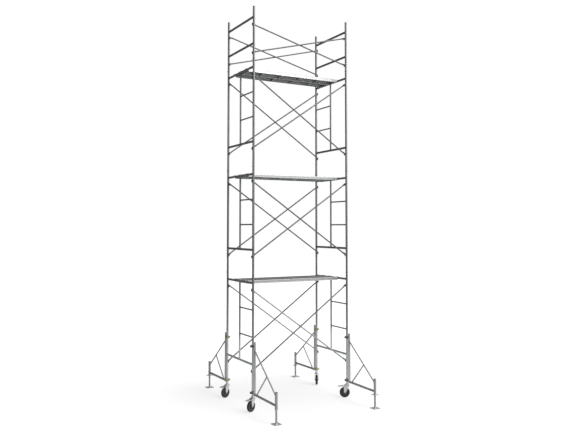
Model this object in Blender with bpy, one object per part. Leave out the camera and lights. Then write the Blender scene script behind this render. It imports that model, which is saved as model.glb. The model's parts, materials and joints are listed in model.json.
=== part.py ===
"""Mobile tower scaffold: three lifts of steel ladder frames on castors, held by four outriggers.

Metres, +Z up, the floor at Z = 0 and the tower's centre line on the Z axis. X runs along the
decks, from the left end frame to the right one. Y runs from the front face to the rear face.
"""

import math

import bmesh
import bpy
from mathutils import Matrix, Vector

# Tower
BAY_LENGTH = 2.05  # between post centres, along the decks
FRAME_WIDTH = 1.15  # between post centres, across an end frame
LIFTS = 3
LIFT_HEIGHT = 2.0  # from one deck to the next
FIRST_DECK_TUBE = 2.3  # height of the tube that carries the lowest deck
RUNG_SPACING = 0.465  # three of these from a frame's lower tube to its deck tube
BASE_RUNG_SPACING = 0.49  # the same in the base frame, whose lower tube is nearer the floor
JOINT_RISE = 0.09  # from a deck tube up to the joint in the posts
STUD_DROP = 0.12  # from a tube down to the brace stud under it
MID_RAIL_RISE = 0.44
TOP_RAIL_RISE = 0.94
POST_TOP_RISE = 0.2  # from the top rail
GUARD_LOW_STUD_DROP = 0.16

# Tubes
POST_RADIUS = 0.0212
INNER_POST_RADIUS = 0.0168
RUNG_RADIUS = 0.0135
BRACE_RADIUS = 0.0135
STUD_RADIUS = 0.007
SPIGOT_RADIUS = 0.0172
SOCKET_RADIUS = 0.0185
SPIGOT_LENGTH = 0.13
SOCKET_SLACK = 0.01  # a socket is this much deeper than its spigot
POST_SIDES = 10
RUNG_SIDES = 8
STUD_SIDES = 6
GAP = 0.0003
BITE = 0.002  # how far the parts of one piece run into each other
OVERRUN = 0.01  # how far a cutter runs past what it cuts

# Braces
BRACE_PLANE = 0.032  # from the post's surface to the middle of a brace's flat end
BRACE_OFFSET = 0.0138  # from the flat end's middle to the tube's axis
FLAT_THICKNESS = 0.005
FLAT_HALF_WIDTH = 0.017
FLAT_LENGTH = 0.06
STUD_HOLE_RADIUS = 0.0082
STUD_TIP = 0.02  # how far a stud reaches past the middle of a flat end

# Decks
DECK_WIDTH = 0.6
DECK_TOP_RISE = 0.027  # above the deck tube's axis
DECK_DEPTH = 0.06
SHEET = 0.003
LIP = 0.018
PLANK_GAP = 0.006
END_CLEARANCE = 0.01  # from the deck's end to the deck tube
END_CHANNEL = 0.03
CLAW_WIDTH = 0.045
CLAW_THICKNESS = 0.007
CLAW_CLEARANCE = 0.0015
CLAW_ROOT_RISE = 0.012  # above the deck's underside
CLAW_SPREAD = 0.11  # from a plank's centre line to its claw
CLAW_WRAP = math.radians(20)  # how far a claw reaches below the tube's middle

# Castors
WHEEL_RADIUS = 0.1
WHEEL_HALF_WIDTH = 0.023
WEB_HALF_WIDTH = 0.011
TREAD_HALF_WIDTH = 0.014
SHOULDER_RADIUS = 0.082
RIM_RADIUS = 0.068
HUB_HALF_WIDTH = 0.029
HUB_RADIUS = 0.019
HUB_FLARE_RADIUS = 0.026
TRAIL = 0.05  # from the swivel axis to the axle
POST_FOOT = 0.27
STEM_LENGTH = 0.13
STEM_RADIUS = 0.0172
AXLE_RADIUS = 0.006
AXLE_NUT_RADIUS = 0.011
AXLE_NUT_HEIGHT = 0.008
HEAD_RADIUS = 0.03
RACE_RADIUS = 0.039
RACE_HEIGHT = 0.01
FORK_TOP = 0.2405
FORK_PLATE = 0.0085
PLATE_BACK = 0.046  # behind the swivel axis
PLATE_FRONT = 0.062
PLATE_HALF_WIDTH = 0.04
LEG_INNER = 0.0305
LEG_THICKNESS = 0.005
LEG_BACK = 0.034  # behind the swivel axis, at the top
LEG_FRONT = 0.061
LEG_KNEE = (0.071, 0.2)
LEG_FOOT_RADIUS = 0.018
LEG_FOOT_ARC = (math.radians(205), math.radians(345))
PEDAL_PIVOT = (0.052, 0.2215)  # along the trail, and up
PEDAL_PIN_RADIUS = 0.004
PEDAL_PIN_HEAD = 0.003
PEDAL_BARREL_RADIUS = 0.008
PEDAL_TOP = 0.2265
PEDAL_DROP = 0.01  # of the tread's far edge
PEDAL_BACK = 0.088
PEDAL_BEND = 0.104
PEDAL_REACH = 0.185
PEDAL_HALF_WIDTH = 0.04
PEDAL_THICKNESS = 0.006
PEDAL_SIDE_GAP = 0.003
SHOE_BACK = 0.057
SHOE_FRONT = 0.075
SHOE_TOP = 0.222
SHOE_LOW = 0.204
SHOE_HALF_WIDTH = 0.018
RUNNING_GAP = 0.0006

# Outriggers
UPRIGHT_OFFSET = 0.078  # from the post's axis to the outrigger's upright
UPRIGHT_LOW = 0.29
UPRIGHT_HIGH = 1.245
COUPLER_HEIGHTS = {"lower": 0.335, "upper": 1.165}
REACH = 0.91  # from the post's axis to the jack
ARM_HEIGHT = 0.305
ARM_RISE = 0.008  # of the arm's root above its sleeve end
SLEEVE_RADIUS = 0.0242
SLEEVE_BORE = 0.0195
SLEEVE_LOW = 0.265
SLEEVE_HIGH = 0.535
DIAGONAL_HIGH = 1.1
DIAGONAL_LOW = 0.465
STRUT_START = (0.16, 0.32)
STRUT_RADIUS = 0.012
STRUT_SHARE = 0.59  # how far down the diagonal the strut meets it

# Couplers
COUPLER_HEIGHT = 0.05
RING_CLEARANCE = 0.0015
RING_THICKNESS = 0.0085
RING_HALF_ANGLE = math.radians(82)
HINGE_OFFSET = 0.041  # from the post's axis to the jaw's hinge pin
KNUCKLE_RADIUS = 0.0065
HINGE_PIN_RADIUS = 0.0035
HINGE_PIN_HEAD = 0.002
WELD_MARGIN = 0.004  # from a coupler's edge to the block that joins it to the upright
KNUCKLE_SHARE = 0.17  # half of the jaw's knuckle, as a share of the coupler's height
SPLIT = (0.0025, 0.0095)  # how far each half's ear lies from the plane between the halves
RING_EDGE = 0.0255  # where the ears and knuckles leave the ring
EAR_TIP = 0.057
EAR_HALF = 0.017
BOLT_OFFSET = 0.043
BOLT_RADIUS = 0.006
BOLT_SLOT = 0.0075
BOLT_NUT_RADIUS = 0.0115
BOLT_NUT_HEIGHT = 0.013
BOLT_TAIL = 0.006  # past the nut
BOLT_REACH = 0.009  # past the welded half's ear
FLANGE_RADIUS = 0.019
FLANGE_THICKNESS = 0.008

# Jacks
SCREW_RADIUS = 0.018
SCREW_TOP = 0.5
BASE_PLATE = 0.15
BASE_THICKNESS = 0.008
BASE_COLLAR_RADIUS = 0.024
BASE_COLLAR_TOP = 0.02
NUT_LOW = 0.236
NUT_RADIUS = 0.028
NUT_BORE = 0.0194
WING_REACH = 0.07
WING_ROOT = 0.02
WING_SHOULDER = 0.045
WING_HALF_THICKNESS = 0.007
WING_HEIGHTS = (0.004, 0.001, 0.016, 0.024, 0.026)  # above the nut's underside, round the wing

HALF_LENGTH = BAY_LENGTH / 2
HALF_WIDTH = FRAME_WIDTH / 2
CORNERS = {
    "front_left": (-1, -1),
    "front_right": (1, -1),
    "rear_left": (-1, 1),
    "rear_right": (1, 1),
}
# The way that each castor trails, and the way that each jack nut's wings point, in degrees
# anticlockwise from +X.
CASTOR_TRAILS = {"front_left": 204, "front_right": 151, "rear_left": 200, "rear_right": 61}
WING_ANGLES = {"front_left": 61, "front_right": -29, "rear_left": -29, "rear_right": 10}

FINISHES = {
    "galvanised": ((0.52, 0.53, 0.54, 1), 0.42, 0.9),
    "deck_steel": ((0.6, 0.61, 0.62, 1), 0.45, 0.85),
    "yellow_zinc": ((0.45, 0.39, 0.2, 1), 0.38, 0.85),
    "cast_steel": ((0.4, 0.41, 0.41, 1), 0.5, 0.8),
    "castor_zinc": ((0.62, 0.63, 0.63, 1), 0.35, 0.85),
    "tyre_black": ((0.02, 0.02, 0.02, 1), 0.65, 0.0),
}


def finish(name):
    """A Principled material, made once."""
    known = bpy.data.materials.get(name)
    if known:
        return known
    colour, roughness, metallic = FINISHES[name]
    made = bpy.data.materials.new(name)
    made.use_nodes = True
    shader = made.node_tree.nodes["Principled BSDF"]
    shader.inputs["Base Color"].default_value = colour
    shader.inputs["Roughness"].default_value = roughness
    shader.inputs["Metallic"].default_value = metallic
    return made


def bar(start, end, radius, sides=POST_SIDES, half_step=False):
    """A closed round bar between two points; half_step turns its flats by half a side."""
    start, end = Vector(start), Vector(end)
    run = end - start
    shape = bmesh.new()
    bmesh.ops.create_cone(
        shape, cap_ends=True, segments=sides, radius1=radius, radius2=radius, depth=run.length
    )
    turn = Matrix.Rotation(math.pi / sides if half_step else 0, 4, "Z")
    aim = run.to_track_quat("Z", "Y").to_matrix().to_4x4()
    shape.transform(Matrix.Translation((start + end) / 2) @ aim @ turn)
    return shape


def prism(outline, low, high, across):
    """An outline of (a, b) points pulled from low to high along the axis named by across."""
    order = {
        "X": lambda a, b, t: (t, a, b),
        "Y": lambda a, b, t: (a, t, b),
        "Z": lambda a, b, t: (a, b, t),
    }
    shape = bmesh.new()
    near, far = ([shape.verts.new(order[across](a, b, t)) for a, b in outline] for t in (low, high))
    shape.faces.new(near)
    shape.faces.new(far)
    for i in range(len(outline)):
        j = (i + 1) % len(outline)
        shape.faces.new((near[i], near[j], far[j], far[i]))
    bmesh.ops.recalc_face_normals(shape, faces=shape.faces)
    return shape


def block(low, high):
    outline = [(low[0], low[1]), (high[0], low[1]), (high[0], high[1]), (low[0], high[1])]
    return prism(outline, low[2], high[2], "Z")


def arc(centre, radius, start, end, steps):
    """Points on an arc, from one angle to another, both included."""
    angles = [start + (end - start) * i / steps for i in range(steps + 1)]
    return [(centre[0] + radius * math.cos(a), centre[1] + radius * math.sin(a)) for a in angles]


def turned(profile, steps, axle):
    """A wheel: a closed profile of (across, radius) points turned about an axle along Y."""
    shape = bmesh.new()
    rings = []
    for i in range(steps):
        x, z = math.cos(2 * math.pi * i / steps), math.sin(2 * math.pi * i / steps)
        rings.append([shape.verts.new((axle[0] + r * x, y, axle[1] + r * z)) for y, r in profile])
    for i, ring in enumerate(rings):
        after = rings[(i + 1) % steps]
        for k in range(len(profile)):
            m = (k + 1) % len(profile)
            shape.faces.new((ring[k], ring[m], after[m], after[k]))
    bmesh.ops.recalc_face_normals(shape, faces=shape.faces)
    return shape


def temporary(shape):
    mesh = bpy.data.meshes.new("shape")
    shape.to_mesh(mesh)
    shape.free()
    made = bpy.data.objects.new("shape", mesh)
    bpy.context.scene.collection.objects.link(made)
    return made


def combined(solids, cuts=()):
    """One mesh: the solids joined, less the cuts."""
    body = temporary(solids[0])
    helpers = []
    for operation, shapes in (("UNION", solids[1:]), ("DIFFERENCE", cuts)):
        for shape in shapes:
            helper = temporary(shape)
            step = body.modifiers.new(operation, "BOOLEAN")
            step.operation = operation
            step.solver = "EXACT"
            step.object = helper
            helpers.append(helper)
    graph = bpy.context.evaluated_depsgraph_get()
    mesh = bpy.data.meshes.new_from_object(body.evaluated_get(graph))
    for used in [body, *helpers]:
        bpy.data.objects.remove(used)
    return mesh


def placed(name, mesh, slot, location=(0, 0, 0), turn=0, parent=None):
    """A node from a mesh, standing at location and turned about Z."""
    node = bpy.data.objects.new(name, mesh)
    bpy.context.scene.collection.objects.link(node)
    node.location = location
    node.rotation_euler.z = turn
    node.parent = parent
    mesh.materials.clear()
    mesh.materials.append(finish(slot))
    mesh.shade_smooth()
    mesh.set_sharp_from_angle(angle=math.radians(40))
    return node


def axis_empty(name, location, turn=0, parent=None):
    """An empty on a joint's axis."""
    empty = bpy.data.objects.new(name, None)
    bpy.context.scene.collection.objects.link(empty)
    empty.location = location
    empty.rotation_euler.z = turn
    empty.parent = parent
    return empty


# ---------------------------------------------------------------- end frames


def deck_tube_height(lift):
    return FIRST_DECK_TUBE + lift * LIFT_HEIGHT


def post(side, foot, head, socket_length):
    """A post with its brace studs left out: (solids, cuts) for its tube and its lower socket."""
    y = side * HALF_WIDTH
    tube = bar((0, y, foot + GAP), (0, y, head), POST_RADIUS)
    socket = bar((0, y, foot - SOCKET_SLACK), (0, y, foot + socket_length), SOCKET_RADIUS)
    return [tube], [socket]


def spigots(head):
    """The pins on top of a frame that enter the frame above."""
    low, high = head - POST_RADIUS, head + SPIGOT_LENGTH
    return [bar((0, y, low), (0, y, high), SPIGOT_RADIUS) for y in (-HALF_WIDTH, HALF_WIDTH)]


def cross_tube(z, radius=POST_RADIUS):
    """A level tube from post to post."""
    inset = HALF_WIDTH - POST_RADIUS / 2
    return bar((0, -inset, z), (0, inset, z), radius, half_step=True)


def studs(z):
    """Two brace studs, which point inward from the posts."""
    outer = HALF_WIDTH - POST_RADIUS / 2
    inner = HALF_WIDTH - POST_RADIUS - BRACE_PLANE - STUD_TIP
    return [bar((0, s * outer, z), (0, s * inner, z), STUD_RADIUS, STUD_SIDES) for s in (-1, 1)]


def ladder_frame(foot, deck_tube, socket_length, spacing=RUNG_SPACING):
    """A frame of one lift, with its rungs between the middle post and the front post."""
    lower_tube = deck_tube - 3 * spacing
    head = deck_tube + JOINT_RISE
    solids, cuts = [], []
    for side in (-1, 1):
        tubes, sockets = post(side, foot, head, socket_length)
        solids += tubes
        cuts += sockets
    solids += [cross_tube(lower_tube), cross_tube(deck_tube)]
    solids.append(bar((0, 0, lower_tube), (0, 0, deck_tube), INNER_POST_RADIUS, POST_SIDES))
    rung_end = -(HALF_WIDTH - POST_RADIUS / 2)
    for i in (1, 2):
        z = lower_tube + i * spacing
        solids.append(bar((0, 0, z), (0, rung_end, z), RUNG_RADIUS, RUNG_SIDES, half_step=True))
    solids += studs(lower_tube - STUD_DROP) + studs(deck_tube - STUD_DROP)
    solids += spigots(head)
    return combined(solids, cuts)


def guard_frame():
    """The rail frame above the highest deck."""
    deck_tube = deck_tube_height(LIFTS - 1)
    foot = deck_tube + JOINT_RISE
    mid_rail = deck_tube + MID_RAIL_RISE
    top_rail = deck_tube + TOP_RAIL_RISE
    solids, cuts = [], []
    for side in (-1, 1):
        tubes, sockets = post(side, foot, top_rail + POST_TOP_RISE, SPIGOT_LENGTH + SOCKET_SLACK)
        solids += tubes
        cuts += sockets
    solids += [cross_tube(mid_rail), cross_tube(top_rail)]
    solids += studs(mid_rail - GUARD_LOW_STUD_DROP) + studs(top_rail - STUD_DROP)
    return combined(solids, cuts)


def make_frames():
    socket = SPIGOT_LENGTH + SOCKET_SLACK
    base = ladder_frame(POST_FOOT, FIRST_DECK_TUBE, STEM_LENGTH + SOCKET_SLACK, BASE_RUNG_SPACING)
    middle = ladder_frame(deck_tube_height(0) + JOINT_RISE, deck_tube_height(1), socket)
    upper = ladder_frame(deck_tube_height(1) + JOINT_RISE, deck_tube_height(2), socket)
    guard = guard_frame()
    for level, mesh in (("base", base), ("middle", middle), ("upper", upper), ("guard", guard)):
        for end, sign in (("left", -1), ("right", 1)):
            # The upper right frame is fitted back to front, so its ladder is at the rear.
            turn = math.pi if (level, end) == ("upper", "right") else 0
            placed(f"{level}_frame_{end}", mesh, "galvanised", (sign * HALF_LENGTH, 0, 0), turn)


# ---------------------------------------------------------------- braces


def brace(rise, side):
    """A brace that climbs from left to right, with its tube on one side of its flat ends."""
    length = math.hypot(BAY_LENGTH, rise)
    half = length / 2
    reach = half - FLAT_LENGTH / 2
    y = side * BRACE_OFFSET
    solids = [bar((-reach, y, 0), (reach, y, 0), BRACE_RADIUS, RUNG_SIDES, half_step=True)]
    cuts = []
    for end in (-1, 1):
        tip = [(end * x, z) for x, z in arc((half, 0), FLAT_HALF_WIDTH, math.pi / 2, -math.pi / 2, 4)]
        root = end * (half - FLAT_LENGTH)
        outline = [(root, FLAT_HALF_WIDTH), *tip, (root, -FLAT_HALF_WIDTH)]
        solids.append(prism(outline, -FLAT_THICKNESS / 2, FLAT_THICKNESS / 2, "Y"))
        near, far = (end * half, -FLAT_THICKNESS, 0), (end * half, FLAT_THICKNESS, 0)
        cuts.append(bar(near, far, STUD_HOLE_RADIUS, RUNG_SIDES))
    return combined(solids, cuts)


def make_braces():
    """A crossed pair on the front and the rear of each lift, and round the top deck."""
    lifts = {}
    for level, lift in (("base", 0), ("middle", 1), ("upper", 2)):
        deck_tube = deck_tube_height(lift)
        spacing = RUNG_SPACING if lift else BASE_RUNG_SPACING
        lifts[level] = (deck_tube - 3 * spacing - STUD_DROP, deck_tube - STUD_DROP)
    top = deck_tube_height(LIFTS - 1)
    lifts["guard"] = (top + MID_RAIL_RISE - GUARD_LOW_STUD_DROP, top + TOP_RAIL_RISE - STUD_DROP)
    plane = HALF_WIDTH - POST_RADIUS - BRACE_PLANE
    for level, (low, high) in lifts.items():
        slope = math.atan2(high - low, BAY_LENGTH)
        for face, sign in (("front", -1), ("rear", 1)):
            for way, climb in (("rising", 1), ("falling", -1)):
                mesh = brace(high - low, sign * climb)
                node = placed(f"{level}_brace_{face}_{way}", mesh, "galvanised")
                node.location = (0, sign * plane, (low + high) / 2)
                node.rotation_euler.y = -climb * slope


# ---------------------------------------------------------------- decks


def plank_outline(centre):
    """A channel with its open side down and its edges turned in, as (y, z) points."""
    half = (DECK_WIDTH - PLANK_GAP) / 4
    top, low = DECK_TOP_RISE, DECK_TOP_RISE - DECK_DEPTH
    right = [
        (half, top),
        (half, low),
        (half - LIP, low),
        (half - LIP, low + SHEET),
        (half - SHEET, low + SHEET),
        (half - SHEET, top - SHEET),
    ]
    left = [(-y, z) for y, z in reversed(right)]
    return [(centre + y, z) for y, z in right + left]


def claw(side, y):
    """A hook over the deck tube at one end of the deck."""
    inner = POST_RADIUS + CLAW_CLEARANCE
    outer = inner + CLAW_THICKNESS
    root = HALF_LENGTH - POST_RADIUS - END_CLEARANCE - END_CHANNEL / 2
    under = arc((HALF_LENGTH, 0), inner, math.pi, -CLAW_WRAP, 6)
    over = arc((HALF_LENGTH, 0), outer, -CLAW_WRAP, math.pi / 2, 3)
    low = DECK_TOP_RISE - DECK_DEPTH + CLAW_ROOT_RISE
    outline = [(root, low), (HALF_LENGTH - inner, low), *under, *over, (root, outer)]
    outline = [(side * x, z) for x, z in outline]
    return prism(outline, y - CLAW_WIDTH / 2, y + CLAW_WIDTH / 2, "Y")


def deck():
    """Two channel planks side by side, tied by an end channel at each end, with claws."""
    end = HALF_LENGTH - POST_RADIUS - END_CLEARANCE
    centre = (DECK_WIDTH + PLANK_GAP) / 4
    solids = [prism(plank_outline(s * centre), -end, end, "X") for s in (-1, 1)]
    low, top = DECK_TOP_RISE - DECK_DEPTH + SHEET / 2, DECK_TOP_RISE - SHEET / 2
    edge = DECK_WIDTH / 2 - SHEET / 2
    for side in (-1, 1):
        near, far = sorted((side * (end - END_CHANNEL), side * (end - SHEET / 2)))
        solids.append(block((near, -edge, low), (far, edge, top)))
        for plank in (-centre, centre):
            solids += [claw(side, plank + s * CLAW_SPREAD) for s in (-1, 1)]
    return combined(solids)


def make_decks():
    mesh = deck()
    for level, lift in (("lower", 0), ("middle", 1), ("upper", 2)):
        placed(f"{level}_deck", mesh, "deck_steel", (0, 0, deck_tube_height(lift)))


# ---------------------------------------------------------------- castors
# Made with the swivel axis on Z and the wheel trailing along +X.


def castor_fork():
    """Stem, swivel head, two legs, the axle and the pedal's pin."""
    head = POST_FOOT - GAP
    plate_low = FORK_TOP - FORK_PLATE
    solids = [
        bar((0, 0, head - 2 * BITE), (0, 0, POST_FOOT + STEM_LENGTH), STEM_RADIUS),
        bar((0, 0, FORK_TOP - BITE), (0, 0, head), HEAD_RADIUS, half_step=True),
        bar((0, 0, FORK_TOP - 2 * BITE), (0, 0, FORK_TOP + RACE_HEIGHT), RACE_RADIUS),
        block((-PLATE_BACK, -PLATE_HALF_WIDTH, plate_low), (PLATE_FRONT, PLATE_HALF_WIDTH, FORK_TOP)),
    ]
    foot = arc((TRAIL, WHEEL_RADIUS), LEG_FOOT_RADIUS, *LEG_FOOT_ARC, 5)
    leg_top = FORK_TOP - BITE
    leg = [(-LEG_BACK, leg_top), *foot, LEG_KNEE, (LEG_FRONT, leg_top)]
    outer = LEG_INNER + LEG_THICKNESS
    pin_x, pin_z = PEDAL_PIVOT
    for s in (-1, 1):
        near, far = sorted((s * LEG_INNER, s * outer))
        solids.append(prism(leg, near, far, "Y"))
        root, tip = ((TRAIL, s * y, WHEEL_RADIUS) for y in (outer - BITE, outer + AXLE_NUT_HEIGHT))
        solids.append(bar(root, tip, AXLE_NUT_RADIUS, STUD_SIDES))
    outer += PEDAL_PIN_HEAD
    for x, z, radius in ((TRAIL, WHEEL_RADIUS, AXLE_RADIUS), (pin_x, pin_z, PEDAL_PIN_RADIUS)):
        solids.append(bar((x, -outer, z), (x, outer, z), radius, RUNG_SIDES))
    return combined(solids)


def wheel():
    """Tyre, web and hub in one, bored for the axle."""
    bore = AXLE_RADIUS + RUNNING_GAP
    half = [
        (HUB_HALF_WIDTH, bore),
        (HUB_HALF_WIDTH, HUB_RADIUS),
        (WEB_HALF_WIDTH, HUB_FLARE_RADIUS),
        (WEB_HALF_WIDTH, RIM_RADIUS),
        (WHEEL_HALF_WIDTH, SHOULDER_RADIUS),
        (TREAD_HALF_WIDTH, WHEEL_RADIUS),
    ]
    profile = half + [(-y, r) for y, r in reversed(half)]
    mesh = bpy.data.meshes.new("wheel")
    shape = turned(profile, 16, (TRAIL, WHEEL_RADIUS))
    shape.to_mesh(mesh)
    shape.free()
    return mesh


def brake_pedal():
    """A foot plate that turns on the pin and presses its shoe on the tyre."""
    pin_x, pin_z = PEDAL_PIVOT
    bore = PEDAL_PIN_RADIUS + RUNNING_GAP
    inner_half = LEG_INNER - PEDAL_SIDE_GAP
    tip = PEDAL_TOP - PEDAL_DROP
    neck = [
        (pin_x, PEDAL_TOP),
        (PEDAL_BEND, PEDAL_TOP),
        (PEDAL_BEND, PEDAL_TOP - PEDAL_THICKNESS),
        (pin_x, PEDAL_TOP - PEDAL_BARREL_RADIUS),
    ]
    top = [(PEDAL_BACK, PEDAL_TOP), (PEDAL_BEND, PEDAL_TOP), (PEDAL_REACH, tip)]
    tread = top + [(x, z - PEDAL_THICKNESS) for x, z in reversed(top)]
    shoe = [(SHOE_BACK, SHOE_TOP), (SHOE_FRONT, SHOE_TOP), (SHOE_FRONT, SHOE_LOW), (SHOE_BACK, SHOE_LOW)]
    neck_half = inner_half - BITE / 2
    solids = [
        bar((pin_x, -inner_half, pin_z), (pin_x, inner_half, pin_z), PEDAL_BARREL_RADIUS, RUNG_SIDES),
        prism(neck, -neck_half, neck_half, "Y"),
        prism(tread, -PEDAL_HALF_WIDTH, PEDAL_HALF_WIDTH, "Y"),
        prism(shoe, -SHOE_HALF_WIDTH, SHOE_HALF_WIDTH, "Y"),
    ]
    reach = inner_half + OVERRUN
    return combined(solids, [bar((pin_x, -reach, pin_z), (pin_x, reach, pin_z), bore, RUNG_SIDES)])


def make_castors():
    fork_mesh, wheel_mesh, pedal_mesh = castor_fork(), wheel(), brake_pedal()
    for corner, (sx, sy) in CORNERS.items():
        turn = math.radians(CASTOR_TRAILS[corner])
        swivel = axis_empty(f"{corner}_castor_axis", (sx * HALF_LENGTH, sy * HALF_WIDTH, 0), turn)
        placed(f"{corner}_castor_fork", fork_mesh, "castor_zinc", parent=swivel)
        placed(f"{corner}_wheel", wheel_mesh, "tyre_black", parent=swivel)
        placed(f"{corner}_brake_pedal", pedal_mesh, "castor_zinc", parent=swivel)


# ---------------------------------------------------------------- outriggers
# Made with the post's axis on Z and the arm pointing along +X.


def half_ring(middle, z):
    """Half of a coupler's ring round the post, centred on the angle middle."""
    inner = POST_RADIUS + RING_CLEARANCE
    start, end = middle - RING_HALF_ANGLE, middle + RING_HALF_ANGLE
    outline = arc((0, 0), inner + RING_THICKNESS, start, end, 5) + arc((0, 0), inner, end, start, 5)
    return prism(outline, z - COUPLER_HEIGHT / 2, z + COUPLER_HEIGHT / 2, "Z")


def knuckle(low, high, way):
    """A hinge knuckle and its arm to the ring; way is 1 for the welded half, -1 for the jaw."""
    near, far = SPLIT
    eye = arc((0, HINGE_OFFSET), KNUCKLE_RADIUS, 0, math.radians(150), 3)
    outline = [(near, RING_EDGE), (far, RING_EDGE), *eye, (near, HINGE_OFFSET - KNUCKLE_RADIUS)]
    return prism([(way * x, y) for x, y in outline], low, high, "Z")


def coupler_body(z):
    """The half of a coupler that is welded to the outrigger: (solids, cut)."""
    half = COUPLER_HEIGHT / 2
    seam = COUPLER_HEIGHT * KNUCKLE_SHARE + GAP
    weld = half - WELD_MARGIN
    ring = POST_RADIUS + RING_CLEARANCE + RING_THICKNESS / 2
    near, far = SPLIT
    low_pin, high_pin = ((0, HINGE_OFFSET, z + s * (half + HINGE_PIN_HEAD)) for s in (-1, 1))
    flange_start, flange_end = ((x, -BOLT_OFFSET, z) for x in (far / 2, far + FLANGE_THICKNESS))
    solids = [
        half_ring(0, z),
        block((ring, -weld, z - weld), (UPRIGHT_OFFSET - POST_RADIUS / 2, weld, z + weld)),
        block((near, -EAR_TIP, z - EAR_HALF), (far, -RING_EDGE, z + EAR_HALF)),
        knuckle(z - half, z - seam, 1),
        knuckle(z + seam, z + half, 1),
        bar(low_pin, high_pin, HINGE_PIN_RADIUS, RUNG_SIDES, half_step=True),
        bar(flange_start, flange_end, FLANGE_RADIUS, RUNG_SIDES),
    ]
    # The bolt swings out through this slot, which is open at the ear's edge.
    low_corner = (near - OVERRUN, -BOLT_OFFSET - 2 * FLANGE_RADIUS, z - BOLT_SLOT)
    slot_end = far + FLANGE_THICKNESS + OVERRUN
    slot = block(low_corner, (slot_end, -BOLT_OFFSET + BOLT_SLOT, z + BOLT_SLOT))
    return solids, slot


def coupler_jaw(z):
    """The half that swings on the hinge pin, with its bolt and nut."""
    seam = COUPLER_HEIGHT * KNUCKLE_SHARE - GAP
    near, far = SPLIT
    nut = -far - BOLT_NUT_HEIGHT
    y = -BOLT_OFFSET
    solids = [
        half_ring(math.pi, z),
        block((-far, -EAR_TIP, z - EAR_HALF), (-near, -RING_EDGE, z + EAR_HALF)),
        knuckle(z - seam, z + seam, -1),
        bar((nut - BOLT_TAIL, y, z), (far + BOLT_REACH, y, z), BOLT_RADIUS, RUNG_SIDES),
        bar((nut, y, z), (-far / 2, y, z), BOLT_NUT_RADIUS, 6),
    ]
    low_bore, high_bore = (0, HINGE_OFFSET, z - COUPLER_HEIGHT), (0, HINGE_OFFSET, z + COUPLER_HEIGHT)
    bore = bar(low_bore, high_bore, HINGE_PIN_RADIUS + RUNNING_GAP, RUNG_SIDES, half_step=True)
    return combined(solids, [bore])


def outrigger():
    """Upright, arm, diagonal, strut, jack sleeve and the two coupler bodies."""
    top = Vector((UPRIGHT_OFFSET, 0, DIAGONAL_HIGH))
    foot = Vector((REACH - SLEEVE_RADIUS / 2, 0, DIAGONAL_LOW))
    meet = top.lerp(foot, STRUT_SHARE)
    arm_root = (UPRIGHT_OFFSET, 0, ARM_HEIGHT + ARM_RISE)
    solids = [
        bar((UPRIGHT_OFFSET, 0, UPRIGHT_LOW), (UPRIGHT_OFFSET, 0, UPRIGHT_HIGH), POST_RADIUS),
        bar(arm_root, (REACH, 0, ARM_HEIGHT), POST_RADIUS, half_step=True),
        bar((REACH, 0, SLEEVE_LOW), (REACH, 0, SLEEVE_HIGH), SLEEVE_RADIUS),
        bar(top, foot, RUNG_RADIUS, RUNG_SIDES, half_step=True),
        bar((STRUT_START[0], 0, STRUT_START[1]), meet, STRUT_RADIUS, RUNG_SIDES),
    ]
    cuts = [bar((REACH, 0, SLEEVE_LOW - OVERRUN), (REACH, 0, SLEEVE_HIGH + OVERRUN), SLEEVE_BORE)]
    for z in COUPLER_HEIGHTS.values():
        shapes, slot = coupler_body(z)
        solids += shapes
        cuts.append(slot)
    return combined(solids, cuts)


def jack_screw():
    """The screw and its base plate."""
    half = BASE_PLATE / 2
    root = (REACH, 0, BASE_THICKNESS / 2)
    return combined(
        [
            bar(root, (REACH, 0, SCREW_TOP), SCREW_RADIUS),
            block((REACH - half, -half, 0), (REACH + half, half, BASE_THICKNESS)),
            bar(root, (REACH, 0, BASE_COLLAR_TOP), BASE_COLLAR_RADIUS, half_step=True),
        ]
    )


def jack_nut():
    """The winged collar under the sleeve, made with its wings along X."""
    high = SLEEVE_LOW - GAP
    solids = [bar((0, 0, NUT_LOW), (0, 0, high), NUT_RADIUS)]
    reaches = (WING_ROOT, WING_REACH, WING_REACH, WING_SHOULDER, WING_ROOT)
    for s in (-1, 1):
        wing = [(s * x, NUT_LOW + rise) for x, rise in zip(reaches, WING_HEIGHTS)]
        solids.append(prism(wing, -WING_HALF_THICKNESS, WING_HALF_THICKNESS, "Y"))
    bore = bar((0, 0, NUT_LOW - OVERRUN), (0, 0, high + OVERRUN), NUT_BORE)
    return combined(solids, [bore])


def make_outriggers():
    frame_mesh, screw_mesh, nut_mesh = outrigger(), jack_screw(), jack_nut()
    jaws = {level: coupler_jaw(z) for level, z in COUPLER_HEIGHTS.items()}
    plated_jaws = {level: mesh.copy() for level, mesh in jaws.items()}
    for corner, (sx, sy) in CORNERS.items():
        turn = sy * math.pi / 2
        swivel = axis_empty(f"{corner}_outrigger_axis", (sx * HALF_LENGTH, sy * HALF_WIDTH, 0), turn)
        placed(f"{corner}_outrigger", frame_mesh, "galvanised", parent=swivel)
        placed(f"{corner}_jack_screw", screw_mesh, "galvanised", parent=swivel)
        wings = math.radians(WING_ANGLES[corner]) - turn
        placed(f"{corner}_jack_nut", nut_mesh, "cast_steel", (REACH, 0, 0), wings, swivel)
        for level in COUPLER_HEIGHTS:
            mesh, slot = (plated_jaws[level], "yellow_zinc") if sy > 0 else (jaws[level], "cast_steel")
            placed(f"{corner}_{level}_coupler_jaw", mesh, slot, parent=swivel)


def main():
    for old in list(bpy.data.objects):
        bpy.data.objects.remove(old)
    make_frames()
    make_braces()
    make_decks()
    make_castors()
    make_outriggers()


main()
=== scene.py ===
"""The looks of the mobile tower scaffold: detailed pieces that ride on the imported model's bodies."""

import json
import math

import bmesh
import bpy
from mathutils import Matrix, Vector


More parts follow.
